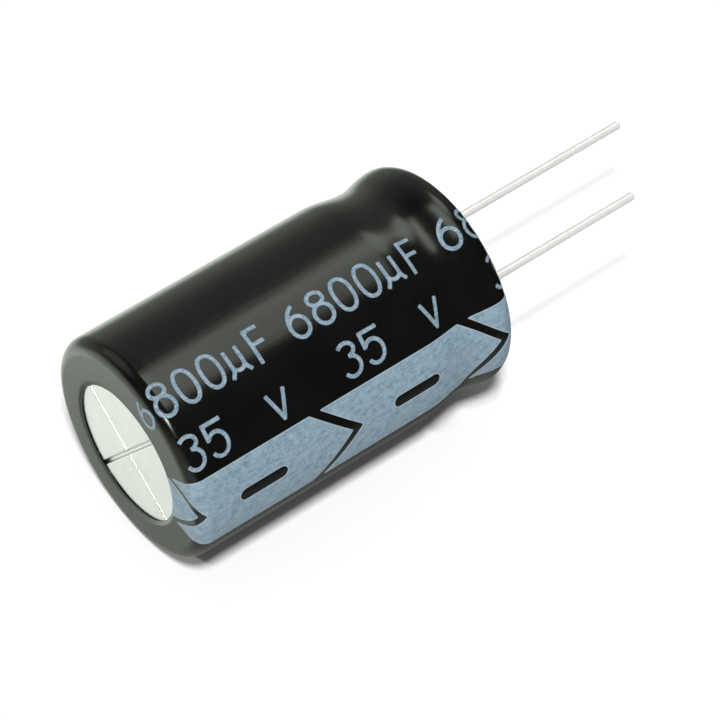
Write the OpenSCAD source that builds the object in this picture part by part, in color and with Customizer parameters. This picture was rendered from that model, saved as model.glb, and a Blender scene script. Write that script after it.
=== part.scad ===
// Radial aluminium electrolytic capacitor: a drawn can in a printed heat-shrink sleeve, with a
// scored pressure vent on its closed end and two straight wire leads at its crimped end.
// All sizes are in millimetres. The origin is the centre of the seating plane, midway between
// the leads. +Z runs up to the vent, +X is on the side of the positive lead, and the leads point
// down through the board.

/* [Can] */
// Outside diameter of the bare can
can_d = 21.8; // [18:0.1:26]
// Length of the bare can over its rolled rim
can_h = 35.8; // [28:0.1:50]
// Thickness of the can's drawn wall
can_wall = 0.45; // [0.3:0.05:0.6]
// Thickness of the can's closed end
can_end = 0.8; // [0.6:0.05:1.2]
// Outside radius of the can's shoulder at the vent
shoulder_r = 1.2; // [0.8:0.1:2]
// Outside radius of the rolled rim at the open end
rim_r = 1.5; // [1.2:0.1:2]
// How far round the rim rolls, from the can's side
rim_roll = 120; // [100:1:135]

/* [Crimp] */
// Height of the crimp's centre over the can's rim
crimp_h = 5.05; // [4.4:0.05:6]
// Depth of the wide part of the crimp, which the sleeve follows
crimp_depth = 0.55; // [0.3:0.05:0.8]
// Reach of the wide part of the crimp above its centre
crimp_reach = 4.6; // [3.5:0.1:6]
// Extra depth of the rolled bead at the crimp's centre, which the sleeve bridges
bead_depth = 0.6; // [0.3:0.05:0.9]
// Half width of the rolled bead
bead_half = 1.6; // [1.2:0.1:2.2]

/* [Sleeve] */
// Thickness of the shrunk sleeve
sleeve_t = 0.28; // [0.15:0.01:0.4]
// Gap between the sleeve and the can
sleeve_fit = 0.02; // [0.01:0.01:0.05]
// Width of the lip that the sleeve turns in over the shoulder, up to its opening round the vent
vent_lip = 4.3; // [2:0.1:7]
// Width of the flat edge that the sleeve turns in under the rim
rim_lap = 0.4; // [0.2:0.05:1]

/* [Vent] */
// Width of a score at the can's face
score_w = 0.5; // [0.3:0.05:0.8]
// Width of a score at its floor
score_floor_w = 0.2; // [0.1:0.05:0.3]
// Depth of a score
score_depth = 0.35; // [0.2:0.05:0.5]
// Length of each of the two crossed scores
score_l = 17; // [14.5:0.1:18.5]
// Turn of the scored cross about the can's axis
score_turn = 38.7; // [0:0.1:90]

/* [Print] */
// Thickness of the printed ink
ink_t = 0.04; // [0.02:0.01:0.08]
// Direction of the polarity stripe's centre line from +X
stripe_turn = 171.5; // [160:0.5:200]
// Angle that the polarity stripe covers
stripe_angle = 42.3; // [30:0.1:60]
// Distance from each arrow to the next along the can
print_pitch = 17.3; // [12:0.1:22]
// Height of the upper arrow's gap over the seating plane, at its point
arrow_z = 18.1; // [14:0.1:22]
// Length of an arrow's slant along the can
arrow_slant = 4.2; // [3:0.1:6]
// Gap between an arrow's point and the next field of the stripe
arrow_gap = 1.15; // [0.6:0.05:2]
// Length of a minus bar
minus_l = 5.2; // [3:0.1:7]
// Width of a minus bar
minus_w = 1.3; // [0.8:0.1:2]
// Distance from an arrow's point up to the middle of the next minus bar
minus_rise = 11.1; // [8:0.1:12.5]
// Length of the top arrow's slant, measured over the shoulder and the lip
lip_slant = 3.6; // [2:0.1:5]
// Gap between the top arrow's point and the field on the lip
lip_gap = 0.85; // [0.4:0.05:1.5]

/* [Bung] */
// Height of the rubber bung
bung_h = 7.9; // [6.5:0.1:8.8]
// Height of the bung's outer face over the can's rim
bung_recess = 0.4; // [0.3:0.05:0.55]
// Gap between the bung and the metal that grips it
bung_fit = 0.02; // [0.01:0.01:0.05]
// Chamfer round the bung's inner face
bung_chamfer = 0.4; // [0.2:0.1:0.8]

/* [Winding] */
// Gap between the closing tape and the can's wall
element_gap = 0.4; // [0.2:0.05:0.8]
// Gap between the bung and the winding, which the tabs cross
element_rise = 1.6; // [1:0.1:3]
// Gap between the winding and the can's closed end
element_top_gap = 0.9; // [0.4:0.1:2]
// Diameter of the hole that the winding spindle leaves
core_d = 2.8; // [2:0.1:4]
// Number of turns marked on the winding's ends
turns = 14; // [8:1:20]
// Depth of the marks between turns
turn_depth = 0.15; // [0.05:0.01:0.3]
// Thickness of the closing tape
tape_t = 0.08; // [0.05:0.01:0.15]
// Gap between the tape and the winding
tape_fit = 0.01; // [0.01:0.01:0.03]
// Width of the winding left bare beyond each edge of the tape
tape_margin = 2; // [1:0.1:5]

/* [Leads and tabs] */
// Distance between the leads
lead_pitch = 10; // [7.5:0.1:10.5]
// Diameter of a lead
lead_d = 0.8; // [0.6:0.05:1]
// Length of the positive lead under the seating plane
anode_lead_l = 26.1; // [5:0.1:40]
// Length of the negative lead under the seating plane
cathode_lead_l = 19.3; // [4:0.1:35]
// Bevel where a lead is cut off
lead_bevel = 0.12; // [0.05:0.01:0.2]
// Diameter of the weld bead on the end of a lead
weld_d = 1.3; // [1.1:0.1:1.6]
// Length of the weld bead
weld_l = 0.7; // [0.5:0.1:1]
// Depth of the weld behind the bung's outer face
weld_in = 0.75; // [0.7:0.05:3]
// Gap between a weld bead and the bung, where the lead leaves it
exit_fit = 0.1; // [0.05:0.05:0.2]
// Diameter of a tab's round shank
shank_d = 2.2; // [1.8:0.1:2.6]
// Gap between a shank and the bung
shank_fit = 0.01; // [0.01:0.01:0.05]
// Thickness of a tab's flat blade
blade_t = 0.3; // [0.2:0.05:0.5]
// Width of a tab's flat blade
blade_w = 2.8; // [2.4:0.1:3.5]
// Length of blade held between the winding's turns
blade_in = 14; // [8:0.5:20]
// Gap between a blade and the turns that hold it
blade_fit = 0.04; // [0.02:0.01:0.1]

/* [Hidden] */
$fn = 96;

// Angle between the points of a rounded edge, and the number of steps along the crimp
arc_step = 11.25;
crimp_steps = 26;
// Small overshoot that lets one solid cut right through another
cut = 0.5;
// How far round the rim's curve the ink is printed, short of the flat that meets the board
ink_rim_end = 6 * arc_step;
// Straight length between the rim's curve and the crimp
side_foot = 0.05;
// Width of the sloping edge of the bung's outer face
face_edge = 0.9;
// Room under a tab's shank, and the share of the weld bead that tapers down to the wire
shank_room = 0.1;
weld_taper = 0.6;
// Share of the gap under the winding that is left at each end of a tab's pressed neck
neck_room = 0.2;

can_r = can_d / 2;
wrap = sleeve_t + sleeve_fit;
sleeve_r = can_r + wrap;
rim_z = wrap;
can_top = rim_z + can_h;
sleeve_top = can_top + wrap;
inner_top = can_top - can_end;
shoulder_c = [can_r - shoulder_r, can_top - shoulder_r];
rim_c = [can_r - rim_r, rim_z + rim_r];
crimp_z = rim_z + crimp_h;
crimp_low = crimp_z - rim_c[1];
shoulder_out = shoulder_r + wrap;
vent_open_r = sleeve_r - vent_lip;
lead_open_r = rim_c[0] - rim_lap;
// How far past the shoulder's start the top arrow's point lies, and the steps along its slant
top_arrow = arrow_z + print_pitch - shoulder_c[1];
slant_steps = 6;

bung_face = rim_z + bung_recess;
bung_top = bung_face + bung_h;
weld_z = bung_face + weld_in;
shank_hole_z = weld_z - shank_room;

tape_r = can_r - can_wall - element_gap;
element_r = tape_r - tape_t - tape_fit;
element_low = bung_top + element_rise;
element_top = inner_top - element_top_gap;
blade_top = element_low + blade_in;
neck_low = bung_top + element_rise * neck_room;
neck_high = bung_top + element_rise * (1 - neck_room);

function arc(c, r, from, to) =
    let (steps = ceil(abs(to - from) / arc_step))
    [for (i = [0 : steps]) let (a = from + (to - from) * i / steps)
        [c[0] + r * cos(a), c[1] + r * sin(a)]];

// One smooth hollow, from 1 at the crimp's centre to 0 at its reach, and its slope
function hollow(z, low, high) =
    let (w = z < crimp_z ? low : high, u = abs(z - crimp_z) / w)
    u < 1 ? (1 + cos(180 * u)) / 2 : 0;
function hollow_slope(z, low, high) =
    let (w = z < crimp_z ? low : high, u = abs(z - crimp_z) / w)
    u < 1 ? -sign(z - crimp_z) * PI * sin(180 * u) / (2 * w) : 0;

// Depth and slope of the crimp at height z; bead is 1 on the metal and 0 under the sleeve
function dip(z, bead) =
    crimp_depth * hollow(z, crimp_low, crimp_reach)
    + bead * bead_depth * hollow(z, bead_half, bead_half);
function dip_slope(z, bead) =
    crimp_depth * hollow_slope(z, crimp_low, crimp_reach)
    + bead * bead_depth * hollow_slope(z, bead_half, bead_half);

// A point of the can's side at height z, moved out along its normal
function side_point(z, out, bead) =
    let (s = dip_slope(z, bead), n = sqrt(1 + s * s))
    [can_r - dip(z, bead) + out / n, z + out * s / n];
function side(out, bead, high, low) =
    [for (i = [0 : crimp_steps]) side_point(high + (low - high) * i / crimp_steps, out, bead)];

// The sleeve's path from the vent's edge to its rim, out from the can by the given distance
function sleeve_path(out, roll) = concat(
    arc(shoulder_c, shoulder_r + out, 90, 0),
    side(out, 0, crimp_z + crimp_reach, rim_c[1] + side_foot),
    arc(rim_c, rim_r + out, 0, -roll));

function reversed(list) = [for (i = [len(list) - 1 : -1 : 0]) list[i]];

// Heat-shrink sleeve, drawn in over the shoulder and under the rim
module sleeve() {
    color([0.09, 0.09, 0.08])
    rotate_extrude()
    polygon(concat(
        [[vent_open_r, sleeve_top]],
        sleeve_path(wrap, 90),
        [[lead_open_r, 0], [lead_open_r, sleeve_t]],
        reversed(sleeve_path(sleeve_fit, 90)),
        [[vent_open_r, sleeve_top - sleeve_t]]));
}

// A bent band across the stripe, pointing towards the leads, as an outline in (across, up)
module arrow_gap_outline(half, rise) {
    polygon([[0, 0], [half, rise], [half, rise + arrow_gap],
             [0, arrow_gap], [-half, rise + arrow_gap], [-half, rise]]);
}

// A point of the sleeve's shoulder or lip, s along the film from the shoulder's start and turned
// from the stripe's centre line, seen at 45 degrees from outside and above
function lip_point(s, turn) =
    let (a = min(s / shoulder_out * 180 / PI, 90),
         r = shoulder_c[0] + shoulder_out * cos(a) - max(s - shoulder_out * PI / 2, 0))
    [r * sin(turn), (shoulder_out * sin(a) + shoulder_c[0] - r * cos(turn)) / sqrt(2)];

// The same band where the film is shrunk in over the shoulder: its angles stay, its width does not
module lip_gap_outline() {
    half = stripe_angle / 2;
    turns_out = [for (i = [-slant_steps : slant_steps]) i / slant_steps * (half + 1)];
    polygon(concat(
        [for (t = turns_out) lip_point(top_arrow + lip_slant * abs(t) / half, t)],
        [for (t = reversed(turns_out)) lip_point(top_arrow + lip_gap + lip_slant * abs(t) / half, t)]));
}

module minus_outline() {
    run = (minus_l - minus_w) / 2;
    polygon(concat(
        arc([0, run], minus_w / 2, 0, 180),
        arc([0, -run], minus_w / 2, 180, 360)));
}

// Cuts an outline in (across, up) through the side of the sleeve along the stripe's centre line
module through_side(z) {
    translate([0, 0, z])
    rotate([90, 0, 90])
    linear_extrude(height = sleeve_r + cut)
    children();
}

// Polarity stripe: printed fields that end in arrows, each with a minus bar left clear
module polarity_stripe() {
    half = sleeve_r * sin(stripe_angle / 2);
    color([0.52, 0.60, 0.65])
    rotate([0, 0, stripe_turn])
    difference() {
        rotate([0, 0, -stripe_angle / 2])
        rotate_extrude(angle = stripe_angle)
        polygon(concat(
            [[vent_open_r, sleeve_top], [vent_open_r, sleeve_top + ink_t]],
            sleeve_path(wrap + ink_t, ink_rim_end),
            reversed(sleeve_path(wrap, ink_rim_end))));
        for (z = [arrow_z, arrow_z - print_pitch])
            through_side(z)
            arrow_gap_outline(2 * half, 2 * arrow_slant);
        for (z = [arrow_z, arrow_z - print_pitch])
            through_side(z + minus_rise)
            minus_outline();
        // The top arrow turns over the shoulder, so its gap is cut through at 45 degrees
        translate([shoulder_c[0], 0, shoulder_c[1]])
        rotate([0, -45, 0])
        translate([-vent_lip, 0, 0])
        rotate([90, 0, 90])
        linear_extrude(height = vent_lip + 2 * shoulder_out)
        lip_gap_outline();
    }
}

// A score across the can's closed end, wide at the face and narrow at its floor
module score() {
    rotate([90, 0, 0])
    linear_extrude(height = score_l, center = true)
    polygon([[-score_w / 2, cut], [-score_w / 2, 0], [-score_floor_w / 2, -score_depth],
             [score_floor_w / 2, -score_depth], [score_w / 2, 0], [score_w / 2, cut]]);
}

// Drawn can: closed scored end, crimp, and a rim rolled over the bung
module can() {
    inner_r = shoulder_r / 2;
    color([0.83, 0.84, 0.82])
    difference() {
        rotate_extrude()
        polygon(concat(
            [[0, can_top]],
            arc(shoulder_c, shoulder_r, 90, 0),
            side(0, 1, crimp_z + crimp_reach, rim_c[1] + side_foot),
            arc(rim_c, rim_r, 0, -rim_roll),
            arc(rim_c, rim_r - can_wall, -rim_roll, 0),
            side(-can_wall, 1, rim_c[1] + side_foot, crimp_z + crimp_reach),
            arc([can_r - can_wall - inner_r, inner_top - inner_r], inner_r, 0, 90),
            [[0, inner_top]]));
        for (turn = [score_turn, score_turn + 90])
            translate([0, 0, can_top])
            rotate([0, 0, turn])
            score();
    }
}

// Rubber bung, squeezed by the crimp and held in by the rolled rim
module rubber_bung() {
    grip = can_wall + bung_fit;
    edge = side_point(bung_top - bung_chamfer, -grip, 1);
    color([0.16, 0.16, 0.17])
    difference() {
        rotate_extrude()
        polygon(concat(
            [[0, bung_face], [rim_c[0] - face_edge, bung_face]],
            arc(rim_c, rim_r - grip, -rim_roll, 0),
            side(-grip, 1, rim_c[1] + side_foot, bung_top - bung_chamfer),
            [[edge[0] - bung_chamfer, bung_top], [0, bung_top]]));
        for (x = [-lead_pitch / 2, lead_pitch / 2])
            translate([x, 0, 0]) {
                translate([0, 0, bung_face - cut])
                cylinder(d = weld_d + 2 * exit_fit, h = shank_hole_z - bung_face + 2 * cut);
                translate([0, 0, shank_hole_z])
                cylinder(d = shank_d + 2 * shank_fit, h = bung_top - shank_hole_z + cut);
            }
    }
}

// Wound foils and paper as one roll, with a slot between turns for each tab's blade
module wound_element() {
    step = (element_r - core_d / 2) / turns;
    color([0.72, 0.66, 0.52])
    difference() {
        rotate_extrude()
        polygon(concat(
            [for (i = [0 : turns - 1]) let (r = core_d / 2 + i * step)
                each [[r, element_low + turn_depth], [r + step / 2, element_low]]],
            [[element_r, element_low + turn_depth], [element_r, element_top - turn_depth]],
            [for (i = [turns - 1 : -1 : 0]) let (r = core_d / 2 + i * step)
                each [[r + step / 2, element_top], [r, element_top - turn_depth]]]));
        for (x = [-lead_pitch / 2, lead_pitch / 2])
            translate([x - blade_t / 2 - blade_fit, -blade_w / 2 - blade_fit, element_low - cut])
            cube([blade_t + 2 * blade_fit, blade_w + 2 * blade_fit, blade_in + blade_fit + cut]);
    }
}

// Tape that keeps the winding from springing open
module winding_tape() {
    color([0.86, 0.80, 0.55])
    translate([0, 0, element_low + tape_margin])
    difference() {
        cylinder(r = tape_r, h = element_top - element_low - 2 * tape_margin);
        translate([0, 0, -cut])
        cylinder(r = tape_r - tape_t, h = element_top - element_low - 2 * tape_margin + 2 * cut);
    }
}

// Aluminium tab: a round shank through the bung, pressed flat into a blade above it
module tab() {
    shank_r = shank_d / 2;
    union() {
        intersection() {
            rotate_extrude()
            polygon([[0, weld_z], [weld_d / 2, weld_z], [shank_r, weld_z + shank_r - weld_d / 2],
                     [shank_r, neck_high], [0, neck_high]]);
            rotate([90, 0, 0])
            linear_extrude(height = 2 * shank_d, center = true)
            polygon([[-shank_d, weld_z - cut], [shank_d, weld_z - cut], [shank_d, neck_low - shank_d],
                     [shank_r, neck_low], [blade_t / 2, neck_high], [-blade_t / 2, neck_high],
                     [-shank_r, neck_low], [-shank_d, neck_low - shank_d]]);
        }
        translate([-blade_t / 2, -blade_w / 2, neck_high - blade_t])
        cube([blade_t, blade_w, blade_top - neck_high + blade_t]);
    }
}

module anode_tab() {
    color([0.78, 0.79, 0.80])
    translate([lead_pitch / 2, 0, 0])
    tab();
}

module cathode_tab() {
    color([0.78, 0.79, 0.80])
    translate([-lead_pitch / 2, 0, 0])
    tab();
}

// Tinned wire with the weld bead at its top and a clean cut at its tip
module lead(length) {
    r = lead_d / 2;
    rotate_extrude()
    polygon([[0, weld_z], [weld_d / 2, weld_z], [weld_d / 2, weld_z - weld_l * (1 - weld_taper)],
             [r, weld_z - weld_l], [r, lead_bevel - length], [r - lead_bevel, -length],
             [0, -length]]);
}

module anode_lead() {
    color([0.80, 0.80, 0.76])
    translate([lead_pitch / 2, 0, 0])
    lead(anode_lead_l);
}

module cathode_lead() {
    color([0.80, 0.80, 0.76])
    translate([-lead_pitch / 2, 0, 0])
    lead(cathode_lead_l);
}

sleeve();
polarity_stripe();
can();
rubber_bung();
wound_element();
winding_tape();
anode_tab();
cathode_tab();
anode_lead();
cathode_lead();
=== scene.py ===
import math

import bpy
import numpy as np
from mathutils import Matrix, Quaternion, Vector


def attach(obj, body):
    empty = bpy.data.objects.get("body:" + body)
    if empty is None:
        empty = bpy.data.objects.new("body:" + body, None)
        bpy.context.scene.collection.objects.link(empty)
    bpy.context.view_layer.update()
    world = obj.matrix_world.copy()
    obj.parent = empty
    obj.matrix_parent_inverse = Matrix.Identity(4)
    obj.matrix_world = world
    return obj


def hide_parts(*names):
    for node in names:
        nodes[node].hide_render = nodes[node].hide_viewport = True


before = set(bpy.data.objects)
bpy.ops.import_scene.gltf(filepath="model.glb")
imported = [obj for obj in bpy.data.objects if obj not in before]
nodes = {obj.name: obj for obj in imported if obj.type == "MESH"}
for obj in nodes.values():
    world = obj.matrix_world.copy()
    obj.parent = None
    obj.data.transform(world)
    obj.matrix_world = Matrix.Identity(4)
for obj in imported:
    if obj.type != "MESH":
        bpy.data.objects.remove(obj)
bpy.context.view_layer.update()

# Radial electrolytic capacitor in its printed heat-shrink sleeve, lying on a white floor.
# Sizes are in millimetres and angles in degrees. A turn is counted round the part's own axis from
# the positive lead's side, and a rise is counted from there up towards the vent. Blender's own unit
# is the metre, so a mesh is scaled by MM when it is made.

MM = 0.001
LEADS = ("anode_lead", "cathode_lead")
TABS = ("anode_tab", "cathode_tab")

# The sleeved can's driving sizes, as in the source of the solids
CAN_R = 10.9
CAN_H = 35.8
SHOULDER_BEND = 1.2
RIM_BEND = 1.5
FILM_T = 0.28
# From the can to the film's outer face
WRAP = 0.3
# The film's flat edges, round the vent and under the rim
VENT_LIP = 4.3
RIM_LAP = 0.4
# The crimp's height over the can's rim, its depth and its reach towards the vent
CRIMP_H = 5.05
CRIMP_DEPTH = 0.55
CRIMP_REACH = 4.6
# Straight length between the rim's bend and the crimp
SIDE_FOOT = 0.05

BODY_R = CAN_R + WRAP
VENT_R = BODY_R - VENT_LIP
SHOULDER_R = SHOULDER_BEND + WRAP
SHOULDER_C = (CAN_R - SHOULDER_BEND, WRAP + CAN_H - SHOULDER_BEND)
RIM_R = RIM_BEND + WRAP
RIM_C = (CAN_R - RIM_BEND, WRAP + RIM_BEND)
CRIMP_Z = WRAP + CRIMP_H
CRIMP_END = CRIMP_Z + CRIMP_REACH
LIP_FLAT = SHOULDER_C[0] - VENT_R
BEND_L = SHOULDER_R * math.pi / 2
# Length along the film: the height on the body's straight part, and most at the vent's edge
TOP_V = SHOULDER_C[1] + BEND_L + LIP_FLAT

# Steps along each stretch of the film's path
LIP_STEPS = 10
BEND_STEPS = 16
SIDE_STEPS = 26
CRIMP_STEPS = 48


def put(name, verts, faces):
    """A mesh object from points in millimetres."""
    mesh = bpy.data.meshes.new(name)
    mesh.from_pydata([tuple(p) for p in np.asarray(verts) * MM], [], faces)
    mesh.validate()
    obj = bpy.data.objects.new(name, mesh)
    bpy.context.scene.collection.objects.link(obj)
    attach(obj, "root")
    return obj


def smooth(obj, sharp):
    """Smooth shading, with edges left sharp where the faces turn by more than the given angle."""
    mesh = obj.data
    mesh.polygons.foreach_set("use_smooth", [True] * len(mesh.polygons))
    mesh.set_sharp_from_angle(angle=math.radians(sharp))


def direction(turn, rise):
    """The unit vector towards a turn and a rise."""
    a, e = math.radians(turn), math.radians(rise)
    return Vector((math.cos(a) * math.cos(e), math.sin(a) * math.cos(e), math.sin(e)))


def ease(share):
    """From 0 to 1 with a soft start and end."""
    return share ** 2 * (3 - 2 * share)


# The film's path


def hollow(z):
    """Depth and slope of the crimp in the can's side at height z."""
    width = CRIMP_Z - RIM_C[1] if z < CRIMP_Z else CRIMP_REACH
    share = abs(z - CRIMP_Z) / width
    if share >= 1:
        return 0.0, 0.0
    depth = (1 + math.cos(math.pi * share)) / 2
    slope = -math.copysign(1, z - CRIMP_Z) * math.pi * math.sin(math.pi * share) / (2 * width)
    return CRIMP_DEPTH * depth, CRIMP_DEPTH * slope


def bend(centre, radius, start, end):
    """Points (radius, height) round a bend of the path."""
    turns = [math.radians(start + (end - start) * i / BEND_STEPS) for i in range(BEND_STEPS + 1)]
    return [(centre[0] + radius * math.cos(a), centre[1] + radius * math.sin(a)) for a in turns]


def film_line():
    """Points (radius, height) of the film's outer face, from the vent's edge to the rim's."""
    top = SHOULDER_C[1] + SHOULDER_R
    line = [(VENT_R + LIP_FLAT * i / LIP_STEPS, top) for i in range(LIP_STEPS)]
    line += bend(SHOULDER_C, SHOULDER_R, 90, 0)
    straight = CRIMP_END - SHOULDER_C[1]
    line += [(BODY_R, SHOULDER_C[1] + straight * i / SIDE_STEPS) for i in range(1, SIDE_STEPS)]
    crimped = RIM_C[1] + SIDE_FOOT - CRIMP_END
    for i in range(CRIMP_STEPS + 1):
        z = CRIMP_END + crimped * i / CRIMP_STEPS
        depth, slope = hollow(z)
        n = math.sqrt(1 + slope * slope)
        line.append((CAN_R - depth + WRAP / n, z + WRAP * slope / n))
    line += bend(RIM_C, RIM_R, 0, -90)
    line += [(RIM_C[0] - RIM_LAP / 2, 0.0), (RIM_C[0] - RIM_LAP, 0.0)]
    return np.array(line)


# The path's points, their lengths along the film and their normals
LINE = film_line()
steps = np.diff(LINE, axis=0)
LENGTH = np.concatenate([[0], np.cumsum(np.hypot(steps[:, 0], steps[:, 1]))])
LINE_V = TOP_V - LENGTH
UNDER_V = LINE_V[-1]
tangent = np.gradient(LINE, LENGTH, axis=0)
tangent /= np.hypot(tangent[:, 0], tangent[:, 1])[:, None]
LINE_N = np.stack([-tangent[:, 1], tangent[:, 0]], axis=1)


def film_point(turn, v, out):
    """Points on the film at turns and at lengths v along it, moved out by out."""
    angle = np.radians(turn)
    back = slice(None, None, -1)
    r, z = (np.interp(v, LINE_V[back], LINE[back, k]) for k in (0, 1))
    nr, nz = (np.interp(v, LINE_V[back], LINE_N[back, k]) for k in (0, 1))
    r, z = r + out * nr, z + out * nz
    return np.stack([r * np.cos(angle), r * np.sin(angle), z], axis=-1)


# The sleeve

# Depth of the film's unevenness everywhere, and of its puckers in the crimp with their reach
UNEVEN = 0.006
PUCKER = 0.006
PUCKER_REACH = 1.6
# Creases in the lip: turn, where each begins and ends along the film, and its depth
CREASES = [(294.5, 36.4, 39.8, 0.016), (107.5, 36.2, 39.2, 0.014)]
# The lip's radius at the creases, a crease's half width and the length in which it fades out
CREASE_R = 9
CREASE_HALF = 0.13
CREASE_END = 0.5
# How far the lip falls away from the vent's edge towards the shoulder
LIP_FALL = 0.12
# How much thinner the film is drawn at the vent's edge, and over what length
THIN_EDGE = 0.13
THIN_EDGE_L = 0.45
# Rounding of the film's cut edges, and how far the one round the vent is out of round
CUT_ROUND = 0.05
CUT_WAVE = 0.03
CUT_WAVE_L = 1.2
# Steps round the sleeve, the closer ones on each side of a crease, and those near the vent's edge
ROUND_STEPS = 240
CREASE_STEP = 0.35
CREASE_STEPS = 8
EDGE_STEPS = 8
# The inner face has one row for this many points of the path
INNER_ROWS = 3


def dent(turn, v):
    """How far the film lies inside its even shape, in millimetres."""
    a = np.radians(turn)
    # Slow waves round and along the sleeve, and quicker ones in the crimp
    waves = np.sin(3 * a + 0.21 * v) * np.cos(0.35 * v + 1) + 0.5 * np.sin(7 * a - 0.5 * v)
    depth = UNEVEN * (1.5 + waves)
    in_crimp = np.exp(-((v - CRIMP_Z) / PUCKER_REACH) ** 2)
    depth = depth + PUCKER * in_crimp * (1 + np.sin(17 * a) * np.cos(5 * a + 1))
    for middle, low, high, most in CREASES:
        off = np.radians(np.mod(turn - middle + 180, 360) - 180) * CREASE_R
        ends = np.clip((v - low) / CREASE_END, 0, 1) * np.clip((high - v) / CREASE_END, 0, 1)
        depth = depth + most * ends * np.exp(-(off / CREASE_HALF) ** 2)
    out_on_lip = np.clip((TOP_V - v) / LIP_FLAT, 0, 1)
    up_shoulder = np.clip((v - SHOULDER_C[1]) / BEND_L, 0, 1)
    depth = depth + LIP_FALL * out_on_lip ** 1.5 * ease(up_shoulder)
    at_edge = np.clip((v - TOP_V + THIN_EDGE_L) / THIN_EDGE_L, 0, 1)
    return depth + THIN_EDGE * ease(at_edge)


def sleeve_section():
    """The film's section as (v, out): outer face, edge under the rim, inner face, vent's edge."""
    near_edge = [TOP_V - THIN_EDGE_L * k / EDGE_STEPS for k in range(1, EDGE_STEPS + 1)]
    outer = sorted([*LINE_V, *near_edge], reverse=True)
    section = [(v, 0.0) for v in outer if UNDER_V + CUT_ROUND < v < TOP_V - CUT_ROUND]
    # Two points round off each cut edge
    section += [(UNDER_V + 0.4 * CUT_ROUND, -0.2 * CUT_ROUND), (UNDER_V, -CUT_ROUND)]
    section += [(v, -FILM_T) for v in LINE_V[::INNER_ROWS][::-1]]
    section += [(TOP_V, -CUT_ROUND), (TOP_V - 0.4 * CUT_ROUND, -0.2 * CUT_ROUND)]
    return section


def make_sleeve():
    turns = set(np.linspace(0, 360, ROUND_STEPS, endpoint=False).round(3))
    for middle, *_ in CREASES:
        near = range(-CREASE_STEPS, CREASE_STEPS + 1)
        turns |= {round(middle + CREASE_STEP * k, 3) for k in near}
    turns = np.array(sorted(turns))
    out_of_round = 1 + np.sin(np.radians(2 * turns + 40)) * np.cos(np.radians(5 * turns))
    section = sleeve_section()
    verts = []
    for v, out in section:
        at = np.full(len(turns), v)
        # What dents the outer face leaves the inner one where it is
        ring = film_point(turns, at, out - dent(turns, at) * (1 + out / FILM_T))
        # The cut edge round the vent isn't quite round
        near = np.clip((v - TOP_V + CUT_WAVE_L) / CUT_WAVE_L, 0, 1)
        wave = CUT_WAVE * near * out_of_round
        ring[:, 0] += wave * np.cos(np.radians(turns))
        ring[:, 1] += wave * np.sin(np.radians(turns))
        verts.append(ring)
    n, rows = len(turns), len(section)
    faces = []
    for j in range(rows):
        k = (j + 1) % rows
        for i in range(n):
            m = (i + 1) % n
            faces.append((j * n + i, k * n + i, k * n + m, j * n + m))
    obj = put("sleeve_film", np.concatenate(verts), faces)
    smooth(obj, sharp=50)
    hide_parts("sleeve")
    return obj


sleeve = make_sleeve()


# The print

# The ink's faces, out from the film's: the lower one is sunk, so that no gap shows
INK_OUT = 0.03
INK_IN = -0.02
# How far round the rim's bend the ink reaches
INK_RIM_END = 67.5
INK_LOW_V = RIM_C[1] - RIM_R * math.radians(INK_RIM_END)
# Millimetres round the body in each degree
TURN = BODY_R * math.pi / 180
# The grid that a print is traced on reaches this far below it
GRID_PAST = 0.3
# The least share of a grid step that the outline's points keep from the grid's own
CLEAR = 0.1


def ink(name, inside, low, high, step):
    """A thin printed layer where inside(u, v) is positive: its distance in from the print's edge."""
    us = np.arange(low[0], high[0] + step, step)
    vs = np.arange(low[1], high[1] + step, step)
    grid_u, grid_v = np.meshgrid(us, vs, indexing="ij")
    depth = inside(grid_u, grid_v)
    points, marks, index = [], [], {}

    def corner(a):
        if a not in index:
            index[a] = len(points)
            points.append((us[a[0]], vs[a[1]]))
            marks.append(depth[a])
        return index[a]

    def crossing(a, b):
        pair = (min(a, b), max(a, b))
        if pair not in index:
            a, b = pair
            t = min(max(depth[a] / (depth[a] - depth[b]), CLEAR), 1 - CLEAR)
            index[pair] = len(points)
            points.append((us[a[0]] * (1 - t) + us[b[0]] * t, vs[a[1]] * (1 - t) + vs[b[1]] * t))
            marks.append(0.0)
        return index[pair]

    top = []
    printed = depth > 0
    cells = printed[:-1, :-1] | printed[1:, :-1] | printed[:-1, 1:] | printed[1:, 1:]
    for i, j in zip(*np.nonzero(cells)):
        around = [(i, j), (i + 1, j), (i + 1, j + 1), (i, j + 1)]
        face = []
        for a, b in zip(around, around[1:] + around[:1]):
            if printed[a]:
                face.append(corner(a))
            if printed[a] != printed[b]:
                face.append(crossing(a, b))
        top.append(tuple(face))
    flat = np.array(points)
    turns, lengths = flat[:, 0] / TURN, flat[:, 1]
    fall = dent(turns, lengths)
    upper = film_point(turns, lengths, INK_OUT - fall)
    under = film_point(turns, lengths, INK_IN - fall)
    count = len(points)
    edges = {(f[k], f[(k + 1) % len(f)]) for f in top for k in range(len(f))}
    sides = [(b, a, a + count, b + count) for a, b in edges if (b, a) not in edges]
    faces = top + [tuple(p + count for p in reversed(f)) for f in top] + sides
    obj = put(name, np.concatenate([upper, under]), faces)
    smooth(obj, sharp=40)
    mark = obj.data.attributes.new("edge_distance", "FLOAT", "POINT")
    mark.data.foreach_set("value", np.array(marks * 2, dtype=np.float32))
    return obj


# The polarity stripe: the turns of its middle, its points and its bars, and its half width
STRIPE_MID = 171.4
POINT_TURN = 172.0
MINUS_TURN = 172.4
STRIPE_HALF = 21.2
STRIPE_STEP = 0.14
STRIPE_PAST = 1
# The film that the stripe leaves bare round the vent
STRIPE_SHORT = 0.06
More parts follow.
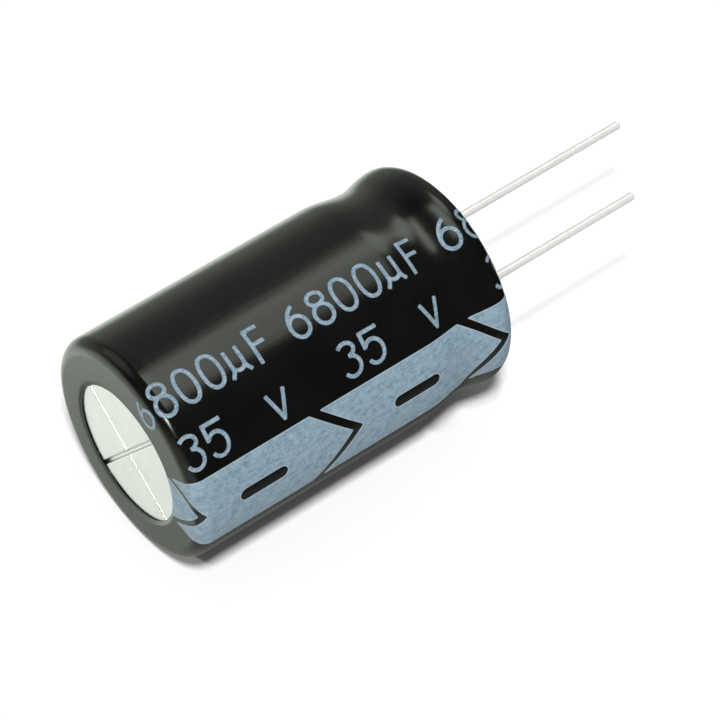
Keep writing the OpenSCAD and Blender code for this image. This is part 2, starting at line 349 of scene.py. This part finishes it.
# The arrows: where the point of one lies, their pitch, and the slant and gap of each kind
ARROW_V = 18.1
PITCH = 17.3
SIDE_ARROW = (4.2, 1.15)
LIP_ARROW = (3.6, 0.85)
ARROWS = [(ARROW_V, *SIDE_ARROW), (ARROW_V - PITCH, *SIDE_ARROW), (ARROW_V + PITCH, *LIP_ARROW)]
MINUS_RISE = 11.1
MINUS_L = 5.2
MINUS_W = 1.3


def stripe_inside(u, v):
    """The stripe less its arrows' gaps and its minus bars: the distance in from their edges."""
    mid, half = STRIPE_MID * TURN, STRIPE_HALF * TURN
    depth = np.minimum(half - np.abs(u - mid), np.minimum(TOP_V - STRIPE_SHORT - v, v - INK_LOW_V))
    for point, slant, gap in ARROWS:
        lean = slant / half
        low = point + lean * np.abs(u - POINT_TURN * TURN)
        off = np.maximum(low - v, v - low - gap) / math.sqrt(1 + lean * lean)
        depth = np.minimum(depth, off)
    for point in (ARROW_V, ARROW_V - PITCH):
        past = np.maximum(np.abs(v - point - MINUS_RISE) - (MINUS_L - MINUS_W) / 2, 0)
        off = np.hypot(past, u - MINUS_TURN * TURN) - MINUS_W / 2
        depth = np.minimum(depth, off)
    return depth


stripe = ink(
    "polarity_print",
    stripe_inside,
    ((STRIPE_MID - STRIPE_HALF - STRIPE_PAST) * TURN, INK_LOW_V - GRID_PAST),
    ((STRIPE_MID + STRIPE_HALF + STRIPE_PAST) * TURN, TOP_V),
    STRIPE_STEP,
)
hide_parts("polarity_stripe")

# The rating: a generic one, in pen strokes. Each row is the turn of its baseline, and its glyphs
# with where they begin along the film.
ROWS = [
    (224.7, [("6", 21.3), ("8", 18.65), ("0", 16.05), ("0", 13.4), ("mu", 10.95), ("F", 7.95)]),
    (197.1, [("3", 18.6), ("5", 16.0), ("V", 9.4)]),
]
REPEATS = (PITCH, 0, -PITCH)
# The turns that the rows lie between
ROWS_FROM = 195
ROWS_TO = 245
RATING_STEP = 0.09
# The film that the rating leaves bare round the vent
RATING_SHORT = 0.3
# Height of a capital, width of the pen's stroke and width of a digit
CAP = 3.54
PEN = 0.39
DIGIT = 2.2


def bow(cx, cy, rx, ry, start, end, count=14):
    """Points along an oval's arc, from the start angle to the end angle."""
    turns = [math.radians(start + (end - start) * i / count) for i in range(count + 1)]
    return [(cx + rx * math.cos(t), cy + ry * math.sin(t)) for t in turns]


def nought_ring(cx, cy, rx, ry, power=0.86, count=48):
    """A closed oval, squared off a little."""

    def squared(c):
        return math.copysign(abs(c) ** power, c)

    turns = [2 * math.pi * i / count for i in range(count + 1)]
    return [(cx + rx * squared(math.cos(t)), cy + ry * squared(math.sin(t))) for t in turns]


def glyphs():
    """Each glyph's strokes: points with x along the reading direction and y up from the baseline."""
    p = PEN / 2
    w, h = DIGIT, CAP
    mid, top = w / 2, h - p
    rx = mid - p
    bowl = 0.29 * h
    six = [
        bow(mid, p + bowl, rx, bowl, 0, 360, 28),
        bow(w - 0.1, p + bowl, w - 0.1 - p, top - p - bowl, 180, 108),
    ]
    low = 0.27 * h
    up = (top - p) / 2 - low
    eight = [
        bow(mid, p + low, rx, low, 0, 360, 28),
        bow(mid, top - up, rx * 0.86, up, 0, 360, 24),
    ]
    nought = [nought_ring(mid, h / 2, rx, h / 2 - p)]
    three = [
        bow(mid - 0.1, p + low, rx, low, -155, 90),
        bow(mid - 0.1, top - up, rx * 0.9, up, -90, 150),
    ]
    bowl = 0.32 * h
    five = [
        [(w - 0.1, top), (p, top)],
        [(p + 0.02, h), (p + 0.02, p + 1.45 * bowl)],
        bow(mid - 0.08, p + bowl, rx + 0.03, bowl, 144, -150, 24),
    ]
    x_top = 0.77 * h
    mu = [
        [(0.5, x_top), (0.5, 0.95)],
        [(0.52, 1.15), (0.5, 0.7), (0.05, 0.02)],
        bow(1.13, 1.12, 0.63, 0.55, 180, 330, 12),
        [(1.76, x_top), (1.76, 0.8)],
        [(1.74, 1.0), (1.8, 0.62), (2.12, 0.12)],
    ]
    ef = [[(p, 0), (p, h)], [(0, top), (1.62, top)], [(0, 0.54 * h), (1.5, 0.54 * h)]]
    vee = [[(p, 2.85), (1.15, p), (2.3 - p, 2.85)]]
    return {"6": six, "8": eight, "0": nought, "3": three, "5": five, "mu": mu, "F": ef, "V": vee}


def rating_strokes():
    drawn = glyphs()
    strokes = []
    for base, row in ROWS:
        for shift in REPEATS:
            for name, start in row:
                for stroke in drawn[name]:
                    at = [(base * TURN + y, start + shift - x) for x, y in stroke]
                    if max(v for _, v in at) > INK_LOW_V:
                        strokes.append(at)
    return strokes


def rating_inside(u, v):
    """Strokes with flat ends: the distance in from their edges."""
    depth = np.full(u.shape, -1.0)
    for stroke in rating_strokes():
        last = len(stroke) - 2
        for k, ((u0, v0), (u1, v1)) in enumerate(zip(stroke, stroke[1:])):
            beside = (u > min(u0, u1) - PEN) & (u < max(u0, u1) + PEN)
            near = beside & (v > min(v0, v1) - PEN) & (v < max(v0, v1) + PEN)
            length = math.hypot(u1 - u0, v1 - v0)
            du, dv = (u1 - u0) / length, (v1 - v0) / length
            pu, pv = u[near] - u0, v[near] - v0
            along, off = pu * du + pv * dv, np.abs(pv * du - pu * dv)
            past = np.maximum(np.maximum(-along, along - length), 0)
            inside = PEN / 2 - np.hypot(past, off)
            if k == 0:
                inside = np.minimum(inside, along)
            if k == last:
                inside = np.minimum(inside, length - along)
            depth[near] = np.maximum(depth[near], inside)
    return np.minimum(depth, np.minimum(TOP_V - RATING_SHORT - v, v - INK_LOW_V))


rating = ink(
    "rating_print",
    rating_inside,
    (ROWS_FROM * TURN, INK_LOW_V - GRID_PAST),
    (ROWS_TO * TURN, TOP_V),
    RATING_STEP,
)


# Materials

# Nearly all of a noise's values lie between these
NOISE = (0.3, 0.7)


class Tree:
    """Helpers for the nodes and links of a node tree."""

    def __init__(self, tree):
        self.tree = tree

    def node(self, kind, **values):
        made = self.tree.nodes.new(kind)
        for key, value in values.items():
            setattr(made, key, value)
        return made

    def link(self, start, end):
        self.tree.links.new(start, end)

    def place(self, scale=(1, 1, 1), turn=(0, 0, 0)):
        """Object coordinates in millimetres, turned and scaled."""
        coords = self.node("ShaderNodeTexCoord")
        mapping = self.node("ShaderNodeMapping", vector_type="POINT")
        mapping.inputs["Scale"].default_value = [s / MM for s in scale]
        mapping.inputs["Rotation"].default_value = [math.radians(t) for t in turn]
        self.link(coords.outputs["Object"], mapping.inputs["Vector"])
        return mapping.outputs["Vector"]

    def noise(self, scale, detail, roughness=0.55, coords=None):
        made = self.node("ShaderNodeTexNoise")
        made.inputs["Scale"].default_value = scale
        made.inputs["Detail"].default_value = detail
        made.inputs["Roughness"].default_value = roughness
        self.link(coords or self.place(), made.inputs["Vector"])
        return made.outputs["Fac"]

    def ramp(self, value, stops):
        """A colour by a value, from stops of (value, colour)."""
        made = self.node("ShaderNodeValToRGB")
        elements = made.color_ramp.elements
        while len(elements) < len(stops):
            elements.new(0.5)
        for element, (position, colour) in zip(elements, stops):
            element.position = position
            element.color = (*colour, 1)
        self.link(value, made.inputs["Fac"])
        return made.outputs["Color"]

    def cloud(self, noise, first, second):
        """A colour that wanders between two with a noise."""
        return self.ramp(noise, [(NOISE[0], first), (NOISE[1], second)])

    def span(self, value, given, wanted, kind="LINEAR"):
        """A value taken from one range to another and held at its ends."""
        made = self.node("ShaderNodeMapRange", interpolation_type=kind)
        for key, number in zip(("From Min", "From Max", "To Min", "To Max"), (*given, *wanted)):
            made.inputs[key].default_value = number
        self.link(value, made.inputs["Value"])
        return made.outputs["Result"]

    def math(self, operation, a, b=None):
        made = self.node("ShaderNodeMath", operation=operation)
        for socket, value in zip(made.inputs, (a, b)):
            if value is None:
                continue
            if isinstance(value, (int, float)):
                socket.default_value = value
            else:
                self.link(value, socket)
        return made.outputs["Value"]

    def add(self, a, b):
        return self.math("ADD", a, b)

    def times(self, a, b):
        return self.math("MULTIPLY", a, b)

    def cover(self, factor, under, over):
        """A colour covered by a plain one as far as the factor says."""
        made = self.node("ShaderNodeMix", data_type="RGBA")
        self.link(factor, made.inputs[0])
        self.link(under, made.inputs[6])
        made.inputs[7].default_value = (*over, 1)
        return made.outputs[2]

    def bump(self, height, strength, distance, before=None):
        made = self.node("ShaderNodeBump")
        made.inputs["Strength"].default_value = strength
        made.inputs["Distance"].default_value = distance * MM
        self.link(height, made.inputs["Height"])
        if before:
            self.link(before, made.inputs["Normal"])
        return made.outputs["Normal"]

    def show(self, output, factor, first, second):
        """Links an output to the first shader where the factor is 0 and to the second where it is 1."""
        made = self.node("ShaderNodeMixShader")
        self.link(factor, made.inputs["Fac"])
        self.link(first, made.inputs[1])
        self.link(second, made.inputs[2])
        self.link(made.outputs["Shader"], self.tree.nodes[output].inputs["Surface"])


class Look(Tree):
    """A node material on the principled shader."""

    SOCKETS = {
        "color": "Base Color",
        "metal": "Metallic",
        "rough": "Roughness",
        "ior": "IOR",
        "specular": "Specular IOR Level",
        "normal": "Normal",
    }

    def __init__(self, name):
        self.material = bpy.data.materials.new(name)
        self.material.use_nodes = True
        super().__init__(self.material.node_tree)
        self.shader = self.tree.nodes["Principled BSDF"]

    def set(self, **values):
        for key, value in values.items():
            socket = self.shader.inputs[self.SOCKETS[key]]
            if isinstance(value, (int, float)):
                socket.default_value = value
            else:
                self.link(value, socket)
        return self.material


def film_look():
    look = Look("sleeve_film")
    grain = look.noise(4.0, detail=4)
    drawn = look.noise(1.0, detail=3, coords=look.place((3.2, 3.2, 0.12)))
    cloudy = look.noise(0.22, detail=2)
    color = look.cloud(cloudy, (0.0040, 0.0042, 0.0036), (0.0064, 0.0065, 0.0056))
    rough = look.add(look.span(drawn, NOISE, (0.13, 0.19)), look.span(grain, NOISE, (0, 0.05)))
    soft = look.bump(drawn, strength=0.25, distance=0.012)
    fine = look.bump(grain, strength=0.25, distance=0.006, before=soft)
    return look.set(color=color, rough=rough, ior=1.53, normal=fine)


def ink_look(name, dark, light, bright, rim, rim_most, specks):
    """Ink mottled between three colours, with its edges shifted to a fourth by rim_most. A lighter edge
    colour is a painted highlight along the print's edges.
    """
    look = Look(name)
    streaks = 0.2
    blotch = look.noise(1.6, detail=5, roughness=0.65)
    speck = look.noise(7.0, detail=4, roughness=0.6)
    streak = look.noise(1.0, detail=3, coords=look.place((1.0, 5.0, 0.7), (38, 0, 0)))
    mottle = look.add(look.times(blotch, 1 - streaks - specks), look.times(speck, specks))
    mottle = look.add(mottle, look.times(streak, streaks))
    color = look.ramp(mottle, [(0.40, dark), (0.50, light), (0.60, bright)])
    # Towards the print's edges the colour goes over to the rim colour: on the stripe this is a painted
    # highlight
    edge = look.node("ShaderNodeAttribute", attribute_name="edge_distance")
    near = look.span(edge.outputs["Fac"], (0.03, 0.14), (rim_most, 0), "SMOOTHSTEP")
    color = look.cover(near, color, rim)
    rough = look.span(speck, NOISE, (0.42, 0.56))
    normal = look.bump(mottle, strength=0.3, distance=0.01)
    return look.set(color=color, rough=rough, ior=1.5, normal=normal)


def aluminium_look(name, color, rough, round_edge, brush=(1, 1, 1)):
    look = Look(name)
    rounded = look.node("ShaderNodeBevel", samples=8)
    rounded.inputs["Radius"].default_value = round_edge * MM
    lines = look.noise(2.0, detail=5, roughness=0.6, coords=look.place(brush))
    cloudy = look.noise(0.5, detail=3)
    pits = look.noise(6.5, detail=2, roughness=0.5)
    dull, pit = ([share * c for c in color] for share in (0.94, 0.55))
    in_pit = look.span(pits, (0.66, 0.74), (0, 0.22), "SMOOTHSTEP")
    tint = look.cover(in_pit, look.cloud(cloudy, dull, color), pit)
    normal = look.bump(lines, strength=0.2, distance=0.01, before=rounded.outputs["Normal"])
    return look.set(color=tint, metal=1.0, rough=look.span(lines, NOISE, rough), normal=normal)


def rubber_look():
    look = Look("bung_rubber")
    grain = look.noise(5.0, detail=5, roughness=0.65)
    cloudy = look.noise(0.4, detail=3)
    color = look.cloud(cloudy, (0.018, 0.018, 0.020), (0.032, 0.032, 0.034))
    rough = look.span(grain, NOISE, (0.6, 0.8))
    return look.set(color=color, rough=rough, normal=look.bump(grain, strength=0.5, distance=0.03))


def winding_look():
    """Foil and paper that change places along the roll's radius."""
    look = Look("winding")
    parts = look.node("ShaderNodeSeparateXYZ")
    look.link(look.place(), parts.inputs["Vector"])
    x, y = parts.outputs["X"], parts.outputs["Y"]
    radius = look.math("SQRT", look.add(look.times(x, x), look.times(y, y)))
    turns = look.math("SINE", look.times(radius, 22.0))
    fibre = look.noise(3.0, detail=4)
    layers = look.span(look.add(turns, look.times(fibre, 0.8)), (-1, 1.8), (0, 1))
    color = look.ramp(layers, [(0.2, (0.30, 0.29, 0.27)), (0.7, (0.62, 0.52, 0.35))])
    rough = look.span(fibre, NOISE, (0.5, 0.75))
    return look.set(color=color, rough=rough, normal=look.bump(turns, strength=0.4, distance=0.03))


def tape_look():
    look = Look("tape")
    fibre = look.noise(1.0, detail=4, coords=look.place((0.3, 0.3, 4)))
    color = look.cloud(fibre, (0.62, 0.50, 0.22), (0.74, 0.62, 0.32))
    rough = look.span(fibre, NOISE, (0.22, 0.36))
    return look.set(color=color, rough=rough, normal=look.bump(fibre, strength=0.2, distance=0.01))


def tinned_look():
    look = Look("lead_metal")
    drawn = look.noise(1.0, detail=4, coords=look.place((7, 7, 0.25)))
    spots = look.noise(1.2, detail=3)
    color = look.cloud(spots, (0.90, 0.90, 0.87), (0.97, 0.97, 0.94))
    rough = look.span(drawn, NOISE, (0.34, 0.5))
    normal = look.bump(drawn, strength=0.3, distance=0.01)
    return look.set(color=color, metal=0.28, rough=rough, normal=normal)


def dress(obj, material):
    obj.data.materials.clear()
    obj.data.materials.append(material)


stripe_ink = ink_look(
    "stripe_ink",
    dark=(0.150, 0.222, 0.290),
    light=(0.245, 0.346, 0.430),
    bright=(0.320, 0.435, 0.520),
    # A painted highlight along the stripe's edges
    rim=(0.42, 0.52, 0.58),
    rim_most=0.7,
    specks=0.4,
)
rating_ink = ink_look(
    "rating_ink",
    dark=(0.110, 0.170, 0.235),
    light=(0.250, 0.342, 0.415),
    bright=(0.400, 0.500, 0.570),
    # A darker edge on the rating's ink
    rim=(0.110, 0.170, 0.235),
    rim_most=0.35,
    specks=0.65,
)
can_metal = aluminium_look("can_metal", (0.84, 0.835, 0.85), rough=(0.30, 0.42), round_edge=0.12)
tab_metal = aluminium_look(
    "tab_metal", (0.80, 0.81, 0.82), rough=(0.25, 0.4), round_edge=0.05, brush=(1, 1, 0.1)
)
lead_metal = tinned_look()
dress(sleeve, film_look())
dress(stripe, stripe_ink)
dress(rating, rating_ink)
dress(nodes["can"], can_metal)
dress(nodes["rubber_bung"], rubber_look())
dress(nodes["wound_element"], winding_look())
dress(nodes["winding_tape"], tape_look())
for name in TABS:
    dress(nodes[name], tab_metal)
for name in LEADS:
    dress(nodes[name], lead_metal)


# Camera, floor, lights and surroundings

CAMERA_AT = Vector((-216.84, -189.78, 137.97))
CAMERA_AIM = Vector((-3.966, 1.156, 13.011))
# Turn of the camera about its own line of sight, from upright
CAMERA_ROLL = -120.788
LENS = 170.438
SENSOR = 36.0

camera_data = bpy.data.cameras.new("camera")
camera_data.lens = LENS
camera_data.sensor_width = SENSOR
camera_data.clip_start = 0.01
camera_data.clip_end = 10
camera = bpy.data.objects.new("camera", camera_data)
camera.location = CAMERA_AT * MM
upright = (CAMERA_AIM - CAMERA_AT).to_track_quat("-Z", "Y")
camera.rotation_mode = "QUATERNION"
camera.rotation_quaternion = upright @ Quaternion((0, 0, 1), math.radians(CAMERA_ROLL))
bpy.context.scene.collection.objects.link(camera)
bpy.context.scene.camera = camera
bpy.context.scene.view_settings.view_transform = "Standard"

# The part lies on its side: this turn points straight up from the floor, which the sleeve touches
FLOOR_TURN = 250
FLOOR_HALF = 900
FLOOR_GAP = 0.02
FLOOR_MIDDLE_Z = 15
UP = direction(FLOOR_TURN, 0)
ALONG = Vector((0, 0, 1))
ACROSS = UP.cross(ALONG)


def make_floor():
    middle = -UP * (BODY_R + FLOOR_GAP) + ALONG * FLOOR_MIDDLE_Z
    sides = ((-1, -1), (-1, 1), (1, 1), (1, -1))
    corners = [middle + ACROSS * FLOOR_HALF * a + ALONG * FLOOR_HALF * b for a, b in sides]
    mesh = bpy.data.meshes.new("floor")
    mesh.from_pydata([tuple(p * MM) for p in corners], [], [(0, 1, 2, 3)])
    floor = bpy.data.objects.new("floor", mesh)
    bpy.context.scene.collection.objects.link(floor)
    look = Look("floor_paper")
    color = look.cloud(look.noise(0.05, detail=2), (0.955, 0.955, 0.95), (0.97, 0.97, 0.965))
    look.set(color=color, rough=0.9, specular=0.0)
    # Only its upper side is there, so that it hides nothing from a view behind it
    under = look.node("ShaderNodeNewGeometry").outputs["Backfacing"]
    clear = look.node("ShaderNodeBsdfTransparent").outputs["BSDF"]
    look.show("Material Output", under, look.shader.outputs["BSDF"], clear)
    dress(floor, look.material)
    floor.visible_glossy = False


def make_sun(name, turn, rise, power, spread):
    light = bpy.data.lights.new(name, "SUN")
    light.energy = power
    light.angle = math.radians(spread)
    sun = bpy.data.objects.new(name, light)
    sun.rotation_mode = "QUATERNION"
    sun.rotation_quaternion = direction(turn, rise).to_track_quat("Z", "Y")
    sun.visible_glossy = False
    bpy.context.scene.collection.objects.link(sun)
    return sun


def choose_shadows(light, state, names):
    """INCLUDE: these nodes alone cast shadows from the light; EXCLUDE: they alone cast none."""
    group = bpy.data.collections.new(light.name + "_shadows")
    for name in names:
        group.objects.link(nodes[name])
    for item in group.collection_objects:
        item.light_linking.link_state = state
    light.light_linking.blocker_collection = group


make_floor()
# A broad key light shapes the body's shadow, and a small one alone draws the leads' faint ones
key = make_sun("key", turn=232.5, rise=15, power=2.62, spread=8)
choose_shadows(key, "EXCLUDE", LEADS)
# The roll and the bung stand for the body, so that this shadow ends inside the key's soft edge
upper = make_sun("upper", turn=243, rise=12, power=0.48, spread=3)
choose_shadows(upper, "INCLUDE", (*LEADS, "wound_element", "rubber_bung"))

# Even light on what doesn't shine, and the least that what shines sees
AMBIENT = 0.17
GLOOM = 0.01
# What shines sees a slightly green studio
TINT = (0.93, 1.0, 0.89, 1)
WHITE = (1, 1, 1, 1)


class Studio(Tree):
    """The surroundings as what shines sees them: soft lights, each by its direction."""

    def __init__(self, world):
        super().__init__(world.node_tree)
        self.coords = self.node("ShaderNodeTexCoord").outputs["Generated"]
        self.total = GLOOM

    def along(self, axis):
        made = self.node("ShaderNodeVectorMath", operation="DOT_PRODUCT")
        made.inputs[1].default_value = axis
        self.link(self.coords, made.inputs[0])
        return made.outputs["Value"]

    def lobe(self, turn, rise, inner, outer, power):
        """A round light, even up to the inner angle and gone at the outer one."""
        edge = [math.cos(math.radians(angle)) for angle in (outer, inner)]
        middle = self.along(direction(turn, rise))
        self.total = self.add(self.span(middle, edge, (0, power), "SMOOTHSTEP"), self.total)

    def window(self, axis, half, soft):
        edge = [math.sin(math.radians(angle)) for angle in (half, half + soft)]
        return self.span(self.math("ABSOLUTE", self.along(axis)), edge, (1, 0), "SMOOTHSTEP")

    def box(self, turn, rise, lean, across, along, soft, power):
        """A soft-edged rectangle of light, by its half sizes, soft edge and lean in degrees."""
        middle = direction(turn, rise)
        east = ALONG.cross(middle).normalized()
        north = middle.cross(east)
        c, s = math.cos(math.radians(lean)), math.sin(math.radians(lean))
        wide = self.window(c * east + s * north, across, soft)
        high = self.window(c * north - s * east, along, soft)
        # A window is open on the far side too, so only what lies in front counts
        front = self.span(self.along(middle), (0.2, 0.5), (0, power), "SMOOTHSTEP")
        self.total = self.add(self.times(self.times(wide, high), front), self.total)


def make_world():
    """White behind the part, the studio in what shines and an even light on what doesn't."""
    world = bpy.data.worlds.new("studio")
    bpy.context.scene.world = world
    world.use_nodes = True
    studio = Studio(world)
    # The pale table under and behind the part
    studio.lobe(turn=20, rise=10, inner=15, outer=65, power=0.42)
    studio.lobe(turn=28, rise=50, inner=12, outer=36, power=1.0)
    studio.lobe(turn=130, rise=50, inner=15, outer=50, power=0.55)
    studio.box(turn=23, rise=-4, lean=0, across=6, along=26, soft=13, power=0.85)
    studio.lobe(turn=42, rise=20, inner=8, outer=26, power=0.14)
    studio.lobe(turn=95, rise=0, inner=12, outer=45, power=0.33)
    # Dim walls beyond it
    studio.lobe(turn=308, rise=22, inner=5, outer=28, power=0.55)
    studio.lobe(turn=320, rise=-38, inner=15, outer=45, power=0.25)
    # Soft lights overhead, which draw the sheen along the body and in the crimp
    studio.box(turn=278, rise=-33, lean=-30, across=7, along=6, soft=8, power=2.3)
    studio.box(turn=255, rise=-23, lean=0, across=10, along=0.5, soft=6, power=1.6)
    studio.box(turn=258, rise=-13.5, lean=0, across=16, along=3, soft=6, power=2.8)
    # A small lamp that glints on the shoulder and in the scores
    studio.lobe(turn=230, rise=34, inner=2, outer=8, power=34)

    rays = studio.node("ShaderNodeLightPath").outputs
    shining = studio.math("MAXIMUM", rays["Is Glossy Ray"], rays["Is Transmission Ray"])
    tinted = studio.tree.nodes["Background"]
    tinted.inputs["Color"].default_value = TINT
    studio.link(studio.times(shining, studio.total), tinted.inputs["Strength"])
    plain = studio.node("ShaderNodeBackground")
    plain.inputs["Color"].default_value = WHITE
    even = studio.times(rays["Is Diffuse Ray"], AMBIENT)
    studio.link(studio.add(rays["Is Camera Ray"], even), plain.inputs["Strength"])
    seen_plain = studio.math("MAXIMUM", rays["Is Camera Ray"], rays["Is Diffuse Ray"])
    backgrounds = (node.outputs["Background"] for node in (tinted, plain))
    studio.show("World Output", seen_plain, *backgrounds)


make_world()
